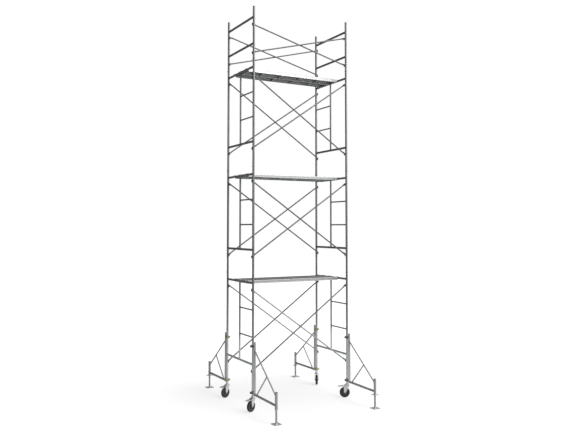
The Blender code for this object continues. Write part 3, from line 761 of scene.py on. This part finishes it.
def hook(side, y):
    """A claw over the deck tube, rivetted to the deck's end."""
    inner, thick, half_width = POST_RADIUS + 0.0009, 0.0072, 0.0225
    outer = inner + thick
    wrap = math.radians(20)
    root = DECK_END - 0.014
    low = DECK_LOW + 0.012
    under = arc((HALF_LENGTH, 0), inner, math.pi, -wrap, 20)
    over = arc((HALF_LENGTH, 0), outer, -wrap, math.pi / 2, 14)
    outline = [(root, low), (HALF_LENGTH - inner, low), *under, *over, (root, outer)]
    made = [prism([(side * a, b) for a, b in outline], y - half_width, y + half_width, "Y", 0.0012)]
    head = [(0, 0), (0, 0.0055), (0.0012, 0.005), (0.002, 0.003), (0.0022, 0)]
    for dy in (-0.012, 0.012):
        made.append(lathe(head, (side * (root + 0.012), y + dy, outer - 0.0004), Z, 12))
    return made


def plank_web(centre, side):
    """A ribbed web with its turned-in lip and the fold that carries the tread."""
    half, top, low, sheet = PLANK_HALF, DECK_TOP_RISE, DECK_LOW, DECK_SHEET
    lip, rib = half - 0.018, half - 0.0028
    web = [
        (half - 0.0135, top - 0.0016), (half - 0.004, top - 0.0016), (half - 0.0012, top - 0.0028),
        (half, top - 0.0058), (half, top - 0.018), (rib, top - 0.021), (rib, low + 0.017),
        (half, low + 0.014), (half, low + 0.003), (half - 0.0025, low + 0.0005), (half - 0.005, low),
        (lip, low), (lip, low + 0.006), (lip + sheet, low + 0.006), (lip + sheet, low + sheet),
        (half - 0.005, low + sheet), (half - sheet, low + 0.0045), (half - sheet, low + 0.0133),
        (rib - sheet, low + 0.0163), (rib - sheet, top - 0.0217), (half - sheet, top - 0.0187),
        (half - sheet, top - 0.0065), (half - 0.0045, top - 0.0032), (half - 0.0135, top - 0.0032),
    ]
    return prism([(centre + side * a, b) for a, b in web], -DECK_END, DECK_END, "X")


def plank_stiffeners(centre):
    """Shallow cross channels between the webs."""
    near, far = centre - PLANK_HALF + 0.0018, centre + PLANK_HALF - 0.0018
    made = []
    for x in (-0.62, -0.21, 0.21, 0.62):
        made.append(block((x - 0.016, near, DECK_LOW + 0.012), (x + 0.016, far, DECK_LOW + 0.0136), 0.0003))
        for s in SIDES:
            foot = (x + s * 0.016, near, DECK_LOW + 0.0125)
            made.append(block(foot, (x + s * 0.0144, far, DECK_TOP_RISE - 0.0036), 0.0003))
    return made


def shade_sheet(centre):
    """A dark sheet with cross ribs under a plank's top sheet, between its webs: painted shade inside the
    channel.
    """
    half = PLANK_HALF - 0.0065
    end = DECK_END - 0.036
    top = DECK_TOP_RISE - 0.0034
    made = [block((-end, centre - half, top - 0.0012), (end, centre + half, top), 0.0002)]
    near, far = centre - half + 0.01, centre + half - 0.01
    for k in range(9):
        x = -end + 0.11 + k * (2 * end - 0.22) / 8
        made.append(block((x - 0.006, near, top - 0.0034), (x + 0.006, far, top - 0.0011), 0.0005))
    return made


def make_decks():
    end, low, top, side = DECK_END, DECK_LOW, DECK_TOP_RISE, DECK_WIDTH / 2
    treads, rear_webs, planks, claws, shade_undersides = [], [], [], [], []
    for centre in (-PLANK_CENTRE, PLANK_CENTRE):
        near, far = centre - PLANK_HALF + 0.012, centre + PLANK_HALF - 0.012
        treads.append(tread_sheet(-end, end, near, far))
        planks.append(plank_web(centre, -1))
        planks += plank_stiffeners(centre)
        # painted light: the rear web takes the pale copy of the deck steel on its inner face
        rear_webs.append(plank_web(centre, 1))
        # painted shade: a dark sheet under the plank's top sheet
        shade_undersides += shade_sheet(centre)
        for s in SIDES:
            claws += hook(-1, centre + s * 0.11) + hook(1, centre + s * 0.11)
    for inner, outer, inset, bottom, upper in (
        (end - 0.0022, end + 0.0001, 0.0004, low + 0.001, top - 0.0006),
        (end - 0.034, end, 0.003, top - 0.0031, top - 0.0002),
        (end - 0.034, end, 0.004, low + 0.0006, low + 0.0024),
    ):
        for s in SIDES:
            planks.append(block((s * inner, inset - side, bottom), (s * outer, side - inset, upper), 0.0006))
    looks = {
        "planks": (join(planks), DECK_STEEL),
        "treads": (join(treads), TREAD_STEEL),
        "rear_webs": (join(rear_webs), LIT_WEB_STEEL),
        "shade_undersides": (join(shade_undersides), SHADE_UNDERSIDE),
        "claws": (join(claws), ARM_STEEL),
    }
    for level, height in zip(("lower", "middle", "upper"), DECK_TUBES):
        where = spot(0, 0, height)
        for name, (mesh, material) in looks.items():
            nodes = [f"{level}_deck"] if name == "planks" else ()
            piece(f"{level}_deck_{name}", mesh, material, "tower", nodes, where)


# ---- castors, made trailing along +X


def fork_look():
    plate_top = 0.2405
    race = [
        (0, 0.037), (0.0025, 0.039), (0.008, 0.039), (0.0105, 0.0365), (0.0115, 0.033), (0.0135, 0.033),
        (0.0145, 0.035), (0.019, 0.035), (0.022, 0.0325), (0.0245, 0.026), (0.0292, 0.0245),
    ]
    shapes = [
        turned(race, (0, 0, plate_top), Z, 40),
        tube((0, 0, 0.262), (0, 0, 0.4), 0.0165, steps=20),
        hexagon((0, 0, 0.233), -Z, 0.0125, 0.008),
        prism(rounded(-0.046, 0.062, -0.04, 0.04, 0.012, 5), 0.2345, plate_top, "Z", 0.0012),
    ]
    foot = arc((TRAIL, WHEEL_RADIUS), 0.018, math.radians(205), math.radians(345), 12)
    leg = [(-0.034, 0.238), *foot, (0.071, 0.2), (0.061, 0.238)]
    hollow = [(-0.016, 0.225), (0.039, 0.122), (0.058, 0.122), (0.0595, 0.19), (0.052, 0.225)]
    for s in SIDES:
        shapes.append(prism(leg, s * 0.0305, s * 0.0355, "Y", 0.0014))
        rail = [Vector((x, s * 0.0356, z)) for x, z in hollow]
        smooth = []
        for a, b in zip(rail, rail[1:] + rail[:1]):
            smooth += [a.lerp(b, t) for t in (0.12, 0.3, 0.5, 0.7, 0.88)]
        shapes.append(sweep(smooth, 0.0016, 6, closed=True))
        edge = [(x, s * 0.034, z) for x, z in ((-0.033, 0.2345), foot[0])]
        shapes.append(sweep(edge, 0.0026, 8))
    return join(shapes)


def fork_fixings():
    """Axle bolt, its nuts and washers, and the pedal's pin with domed heads."""
    x, z = PEDAL_PIVOT
    shapes = [
        tube((TRAIL, -0.043, WHEEL_RADIUS), (TRAIL, 0.043, WHEEL_RADIUS), 0.0059, steps=18),
        tube((x, -0.037, z), (x, 0.037, z), 0.0039, steps=14),
    ]
    washer = [(0, 0.003), (0, 0.0125), (0.0018, 0.0125), (0.0022, 0.0118), (0.0022, 0.003)]
    head = [(0, 0), (0, 0.0065), (0.0012, 0.006), (0.0024, 0.004), (0.0028, 0)]
    for s in SIDES:
        shapes.append(lathe(washer, (TRAIL, s * 0.0355, WHEEL_RADIUS), (0, s, 0), 24))
        shapes.append(hexagon((TRAIL, s * 0.0377, WHEEL_RADIUS), (0, s, 0), 0.0108, 0.0055, 0.2))
        shapes.append(lathe(head, (x, s * 0.0356, z), (0, s, 0), 16))
    return join(shapes)


def mirrored(half):
    """A wheel's closed profile from the half on one side of its middle."""
    return [(-a, r) for a, r in half] + [(a, r) for a, r in reversed(half)]


def tyre_look():
    """A solid rubber tyre with moulded shoulders and shallow tread grooves."""
    half = [
        (0.0195, 0.0585), (0.0215, 0.062), (0.0222, 0.069), (0.0216, 0.0705), (0.0222, 0.072),
        (0.023, 0.082), (0.0215, 0.0895), (0.0185, 0.0955), (0.014, 0.0985), (0.009, 0.0997),
        (0.0084, 0.0985), (0.0068, 0.0985), (0.0062, 0.1),
    ]
    return join([lathe(mirrored(half), AXLE, Y, 72)])


def rim_look():
    """A ribbed wheel centre with a bearing hub."""
    half = [
        (0.0292, 0.0066), (0.0292, 0.0125), (0.0285, 0.0135), (0.0262, 0.0135), (0.0262, 0.0185),
        (0.0245, 0.0195), (0.012, 0.0215), (0.009, 0.025), (0.0085, 0.046), (0.0125, 0.0515),
        (0.0188, 0.0535), (0.0205, 0.0555), (0.0205, 0.0595), (0.019, 0.0602),
    ]
    shapes = [lathe(mirrored(half), AXLE, Y, 56)]
    spoke = [(0.02, 0.0085), (0.052, 0.0085), (0.052, 0.0175), (0.0335, 0.0135), (0.02, 0.0215)]
    axle = spot(*AXLE)
    for s in SIDES:
        for i in range(6):
            web = prism([(r, s * a) for r, a in spoke], -0.0018, 0.0018, "Z", 0.0007)
            web.transform(axle @ Matrix.Rotation(i * math.pi / 3, 4, "Y"))
            shapes.append(web)
    return join(shapes)


def pedal_look():
    x, z = PEDAL_PIVOT
    top = [(0.088, 0.2262), (0.104, 0.2262), (0.179, 0.2178), (0.1845, 0.2168)]
    tread = top + [(a, b - 0.003) for a, b in reversed(top)]
    neck = [(x, 0.2262), (0.1, 0.2262), (0.1, 0.2215), (x, 0.219)]
    skirt = [
        (0.089, 0.226), (0.104, 0.226), (0.184, 0.2166), (0.184, 0.2112), (0.104, 0.2166), (0.089, 0.2166),
    ]
    shoe = [
        (0.0575, 0.2215), (0.0745, 0.2215), (0.0745, 0.206), (0.072, 0.2043), (0.0605, 0.2043),
        (0.0575, 0.206),
    ]
    shapes = [
        lathe([(-0.0272, 0.0047), (-0.0272, 0.0078), (0.0272, 0.0078), (0.0272, 0.0047)], (x, 0, z), Y, 24),
        prism(tread, -0.0395, 0.0395, "Y", 0.0008),
        prism(neck, -0.0245, 0.0245, "Y", 0.0008),
        prism(shoe, -0.0175, 0.0175, "Y", 0.0012),
    ]
    for s in SIDES:
        shapes.append(prism(skirt, s * 0.0393, s * 0.0367, "Y", 0.0006))
    for i in range(6):
        at = 0.112 + i * 0.0122
        height = 0.2262 - (at - 0.104) * 0.112
        foot = [(at - 0.0028, height - 0.001), (at + 0.0028, height - 0.0014)]
        crown = [(at + 0.0016, height + 0.0002), (at - 0.0016, height + 0.0003)]
        shapes.append(prism(foot + crown, -0.033, 0.033, "Y", 0.0003))
    return join(shapes)


def make_castors():
    looks = {"castor_fork": fork_look(), "brake_pedal": pedal_look()}
    fixings, tyre, rim = fork_fixings(), tyre_look(), rim_look()
    places = {joint["name"]: Vector(joint["pos_m"]) for joint in frame["joints"] if "pos_m" in joint}
    for corner in CORNERS:
        swivel = places[f"{corner}_castor_swivel"]
        trail = places[f"{corner}_wheel_spin"] - swivel
        where = spot(swivel.x, swivel.y, 0, math.atan2(trail.y, trail.x))
        for node, mesh in looks.items():
            body = f"{corner}_{node}"
            piece(f"{body}_pressing", mesh, CASTOR_ZINC, body, [body], where)
        fork, wheel = f"{corner}_castor_fork", f"{corner}_wheel"
        piece(f"{fork}_fixings", fixings, CAST, fork, (), where)
        piece(f"{wheel}_tyre", tyre, RUBBER, wheel, [wheel], where)
        piece(f"{wheel}_rim", rim, PAINTED_RIM, wheel, (), where)


# ---- outriggers, made with the arm along +X


def outrigger_tubes():
    """The upright's mesh, and the mesh of all that is welded to it."""
    top = Vector((UPRIGHT_OFFSET, 0, 1.1))
    foot = Vector((REACH - SLEEVE_RADIUS / 2, 0, 0.465))
    slant = (foot - top).normalized()
    meet = top.lerp(foot, 0.59)
    strut = Vector((0.16, 0, 0.318))
    rise = (meet - strut).normalized()
    arm = Vector((UPRIGHT_OFFSET, 0, 0.313))
    arm_end = Vector((REACH, 0, 0.305))
    along = (arm_end - arm).normalized()
    upright = tube((UPRIGHT_OFFSET, 0, 0.29), (UPRIGHT_OFFSET, 0, 1.245), POST_RADIUS, bored=True)
    sleeve = (REACH, 0, SLEEVE_LOW), (REACH, 0, SLEEVE_HIGH)
    shapes = [
        tube(arm, arm_end - along * 0.012, POST_RADIUS),
        tube(*sleeve, SLEEVE_RADIUS, 0.0042, bored=True, depth=0.12),
        tube(top, foot - slant * 0.008, RUNG_RADIUS, steps=20),
        tube(strut, meet, STRUT_RADIUS, steps=20),
        bead(arm, Z, POST_RADIUS, along, POST_RADIUS),
        bead(arm_end, Z, SLEEVE_RADIUS, -along, POST_RADIUS),
        bead(top, Z, POST_RADIUS, slant, RUNG_RADIUS, 0.002),
        bead(foot + slant * 0.012, Z, SLEEVE_RADIUS, -slant, RUNG_RADIUS, 0.002),
        bead(meet, slant, RUNG_RADIUS, -rise, STRUT_RADIUS, 0.0018),
        bead(strut - rise * 0.003, along, POST_RADIUS, rise, STRUT_RADIUS, 0.0018),
    ]
    ring = [(-0.004, 0.0215), (-0.0034, 0.0262), (0.0034, 0.0262), (0.004, 0.0215)]
    for z in (SLEEVE_LOW + 0.004, SLEEVE_HIGH - 0.004):
        shapes.append(lathe(ring, (REACH, 0, z), Z, 32))
    return join([upright]), join(shapes)


def ring_half(middle, z):
    inner = POST_RADIUS + 0.0008
    start, end = middle - math.radians(82), middle + math.radians(82)
    outline = arc((0, 0), inner + 0.0088, start, end, 22) + arc((0, 0), inner, end, start, 22)
    return prism(outline, z - COUPLER_HALF, z + COUPLER_HALF, "Z", 0.0014)


def knuckle(low, high, way):
    eye = arc((0, HINGE_LINE), 0.0065, 0, math.radians(165), 10)
    outline = [(0.0025, 0.0255), (0.0095, 0.0255), *eye, (0.0025, 0.0355)]
    return prism([(way * x, y) for x, y in outline], low, high, "Z", 0.0008)


def slotted(z, radius, opening, steps, mouth, low, high, bevel):
    """A disc across X with a slot cut in from its outer side for the swing bolt."""
    outline = arc((BOLT_LINE, z), radius, -math.radians(opening), math.radians(opening), steps)
    for x, up in ((mouth, 1), (-0.0356, 1), (-0.0356, -1), (mouth, -1)):
        outline.append((x, z + up * 0.0074))
    return prism(outline, low, high, "X", bevel)


def coupler_body_look():
    """The welded halves of both couplers, with hinge pins and slotted flanges."""
    head = [(-0.0275, 0.0042), (-0.0258, 0.0052), (-0.0252, 0.0034)]
    pin = head + [(-a, r) for a, r in reversed(head)]
    ear = [(0.0025, -0.0255), (0.0095, -0.0255), (0.0095, -0.0565), (0.0025, -0.0565)]
    shapes = []
    for z in COUPLER_HEIGHTS.values():
        shapes += [
            ring_half(0, z),
            block((0.028, -0.02, z - 0.021), (0.066, 0.02, z + 0.021), 0.0015),
            block((0.0025, -0.0354, z - 0.0085), (0.0095, -0.025, z + 0.0085)),
            turned(pin, (0, HINGE_LINE, z), Z, 18),
            slotted(z, 0.0185, 156, 24, -0.0605, 0.0097, 0.0125, 0.0008),
            slotted(z, 0.0132, 146, 18, -0.0545, 0.0121, 0.0172, 0.0012),
        ]
        for s in SIDES:
            shapes.append(prism(ear, z + s * 0.017, z + s * 0.0076, "Z", 0.0012))
            shapes.append(knuckle(z + s * COUPLER_HALF, z + s * 0.0088, 1))
    return join(shapes)


def jaw_look(z):
    rib = arc((0, 0), 0.0325, math.radians(120), math.radians(240), 16)
    rib += arc((0, 0), 0.028, math.radians(240), math.radians(120), 16)
    bolt = [(-0.0285, 0.005), (-0.0275, 0.006), (0.0165, 0.006), (0.0184, 0.0045)]
    washer = [(0, 0.004), (0, 0.0128), (0.0016, 0.0128), (0.0022, 0.012), (0.0022, 0.004)]
    return join([
        ring_half(math.pi, z),
        block((-0.0095, -0.0565, z - 0.017), (-0.0025, -0.0255, z + 0.017), 0.0012),
        knuckle(z - 0.0082, z + 0.0082, -1),
        prism(rib, z - 0.006, z + 0.006, "Z", 0.001),
        turned(bolt, (0, BOLT_LINE, z), X, 18),
        hexagon((-0.0118, BOLT_LINE, z), -X, 0.0114, 0.0105, 0.3),
        lathe(washer, (-0.0095, BOLT_LINE, z), -X, 24),
    ])


def screw_look():
    """A rolled round thread on a bar."""
    root, crest, turns, steps = 0.0158, 0.0179, 56, 28
    low = 0.034
    bar = turned([(0.004, root), (0.4985, root), (0.4998, root - 0.0015)], (REACH, 0, 0), Z, steps)
    buried = root - 0.001
    flank = crest - 0.0005
    section = [(buried, -0.0026), (flank, -0.0012), (crest, 0), (flank, 0.0012), (buried, 0.0026)]
    rings = []
    count = turns * steps
    for i in range(count + 1):
        angle = 2 * math.pi * i / steps
        fade = min(1, i / steps, (count - i) / steps)
        ring = []
        for radius, up in section:
            radius = buried + (radius - buried) * fade
            height = low + THREAD_PITCH * i / steps + up
            ring.append((REACH + radius * math.cos(angle), radius * math.sin(angle), height))
        rings.append(ring)
    return join([bar, loft(rings)])


def foot_look(half):
    """The dished foot plate with its weld collar and two nail holes."""
    outline = rounded(REACH - half, REACH + half, -half, half, 0.012, 6)
    holes = [drill(0.006, (REACH + s * half * 0.66, s * half * 0.66, 0), Z) for s in SIDES]
    plate = bmesh.new()
    plate.from_mesh(cut(join([prism(outline, 0.0, 0.006, "Z", 0.0012)]), holes))
    collar = [
        (0.005, 0.012), (0.005, 0.027), (0.0075, 0.0255), (0.011, 0.0225), (0.02, 0.0215),
        (0.021, 0.02), (0.021, 0.012),
    ]
    return join([plate, lathe(collar, (REACH, 0, 0), Z, 32)])


def nut_look():
    """A forged winged collar."""
    low, high = 0.2365, 0.2645
    body = [
        (low, 0.0187), (low, 0.0262), (low + 0.002, 0.0278), (low + 0.01, 0.0278),
        (low + 0.014, 0.0262), (high - 0.002, 0.0262), (high, 0.0248), (high, 0.0187),
    ]
    shapes = [lathe(body, (0, 0, 0), Z, 40)]
    for s in SIDES:
        line, sizes = [], []
        for i in range(13):
            t = i / 12
            line.append((s * (0.0225 + 0.041 * t), 0, 0.2505 - 0.006 * t))
            bulge = 0.0102 - 0.0022 * math.sin(math.pi * min(1, t * 1.25)) + 0.0016 * t
            sizes.append(bulge if i < 12 else bulge * 0.55)
        line.append((s * 0.0678, 0, 0.2444))
        sizes.append(0.002)
        shapes.append(sweep(line, sizes, 14, flat=0.75))
    return join(shapes)


def make_outriggers():
    upright, arms = outrigger_tubes()
    screw, nut = screw_look(), nut_look()
    low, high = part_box("front_left_jack_screw")
    foot = foot_look((high.x - low.x) / 2)
    finishes = {-1: (CAST, "cast_steel"), 1: (PLATED, "yellow_zinc")}  # in front and behind
    couplers = {sy: coupler_body_look() for sy in finishes}
    jaws = {sy: {level: jaw_look(z) for level, z in COUPLER_HEIGHTS.items()} for sy in finishes}
    for corner, (sx, sy) in CORNERS.items():
        turn = sy * math.pi / 2
        where = spot(sx * HALF_LENGTH, sy * HALF_WIDTH, 0, turn)
        finish, slot = finishes[sy]
        body = f"{corner}_outrigger"
        piece(f"{body}_upright", upright, OUTRIGGER_STEEL, body, [body], where)
        piece(f"{body}_arms", arms, ARM_STEEL, body, (), where)
        piece(f"{body}_couplers", couplers[sy], finish, body, (), where)
        for level in COUPLER_HEIGHTS:
            jaw = f"{corner}_{level}_coupler_jaw"
            piece(f"{jaw}_forging", jaws[sy][level], finish, jaw, [jaw], where)
        body = f"{corner}_jack_screw"
        piece(f"{body}_thread", screw, SCREW_STEEL, body, [body], where)
        piece(f"{body}_foot", foot, OUTRIGGER_STEEL, body, (), where)
        body = f"{corner}_jack_nut"
        spin = where @ spot(REACH, 0, 0, math.radians(WING_ANGLES[corner]) - turn)
        piece(f"{body}_forging", nut, NUT_STEEL, body, [body], spin)


# ---- floor, light and camera


def aimed(made, direction):
    made.rotation_euler = Vector(direction).to_track_quat("-Z", "Y").to_euler()


def grey(value):
    return (value, value, value)


def make_floor():
    """A pale disc with a painted shadow under the tower, a grey pool that fades to white, and a painted glow
    seen only by the camera; other rays see a darker floor, lighter near the tower.
    """
    mesh = join([turned([(-0.02, 60), (0, 60)], (0, 0, -0.0005), Z, 96)])
    n = surface("floor")
    radius = n.add("VectorMath", {"operation": "LENGTH"})
    n.feed(radius.inputs[0], n.place)
    distance = radius.outputs["Value"]
    # painted shadow: the floor seen by the camera is greyer in a pool around the tower
    shade_pool = n.span(distance, 0.3, 5.6, 1, 0)
    seen = n.mix(shade_pool, n.mix(n.noise(0.6, 3, 0.5), grey(0.405), grey(0.42)), grey(0.165))
    bounced = n.mix(n.span(distance, 1.5, 5.0, 1, 0), grey(0.3), grey(0.75))
    in_view = n.add("LightPath").outputs["Is Camera Ray"]
    # painted glow: an emission seen only by the camera lifts the floor to white and softens the painted
    # shadow
    glow = n.math("MULTIPLY", in_view, n.mix(shade_pool, grey(0.6), grey(0.69)))
    shader = n.tree.nodes["Principled BSDF"]
    shader.inputs["Emission Color"].default_value = (1, 1, 1, 1)
    n.feed(shader.inputs["Emission Strength"], glow)
    dull = n.span(n.noise(3, 3, 0.5), 0, 1, 0.75, 0.9)
    grain = n.bump(n.noise(40, 2, 0.5), 0.0002, 0.2)
    mesh.materials.append(n.finish(n.mix(in_view, bounced, seen), dull, grain, 0.0))
    placed("floor", mesh)


def make_light():
    """A white surround that lights from one side, a broad sun and a soft key lamp."""
    world = bpy.data.worlds.new("studio")
    bpy.context.scene.world = world
    n = Nodes(world)
    bright_side = Vector((0.62, -0.5, 0.6)).normalized()
    every_way = n.place.node.outputs["Generated"]
    facing = n.math("DOT_PRODUCT", every_way, bright_side, "VectorMath")
    lit = n.tree.nodes["Background"]
    n.feed(lit.inputs["Color"], (1, 1, 1))
    n.feed(lit.inputs["Strength"], n.span(facing, -0.3, 0.9, 0.08, 1.45))
    plain = n.add("Background", color=(1, 1, 1))
    choice = n.add("MixShader", fac=n.add("LightPath").outputs["Is Camera Ray"])
    n.feed(choice.inputs[1], lit.outputs["Background"])
    n.feed(choice.inputs[2], plain.outputs["Background"])
    n.feed(n.tree.nodes["World Output"].inputs["Surface"], choice.outputs["Shader"])

    sun = bpy.data.lights.new("sun", "SUN")
    sun.energy, sun.angle = 1.6, math.radians(40)
    aimed(placed("sun", sun), (-0.35, 0.45, -1))

    key = bpy.data.lights.new("key", "AREA")
    key.shape, key.size, key.energy = "DISK", 4, 500
    lamp = placed("key", key)
    lamp.location = (4, -10, 9)
    aimed(lamp, Vector((0, 0, 3.5)) - lamp.location)


def make_camera():
    camera = bpy.data.cameras.new("camera")
    camera.lens, camera.sensor_width = 41.251, 36
    camera.shift_x, camera.shift_y = -0.0008, -0.04347
    camera.clip_end = 300
    holder = placed("camera", camera)
    holder.location = (-6.3499, -11.5647, 3.3217)
    yaw, pitch = math.radians(60.953), math.radians(3)
    level = math.cos(pitch)
    aimed(holder, (math.cos(yaw) * level, math.sin(yaw) * level, math.sin(pitch)))
    bpy.context.scene.camera = holder


make_camera()
make_floor()
make_light()
make_frames()
make_braces()
make_decks()
make_castors()
make_outriggers()
bpy.context.scene.view_settings.view_transform = "Standard"
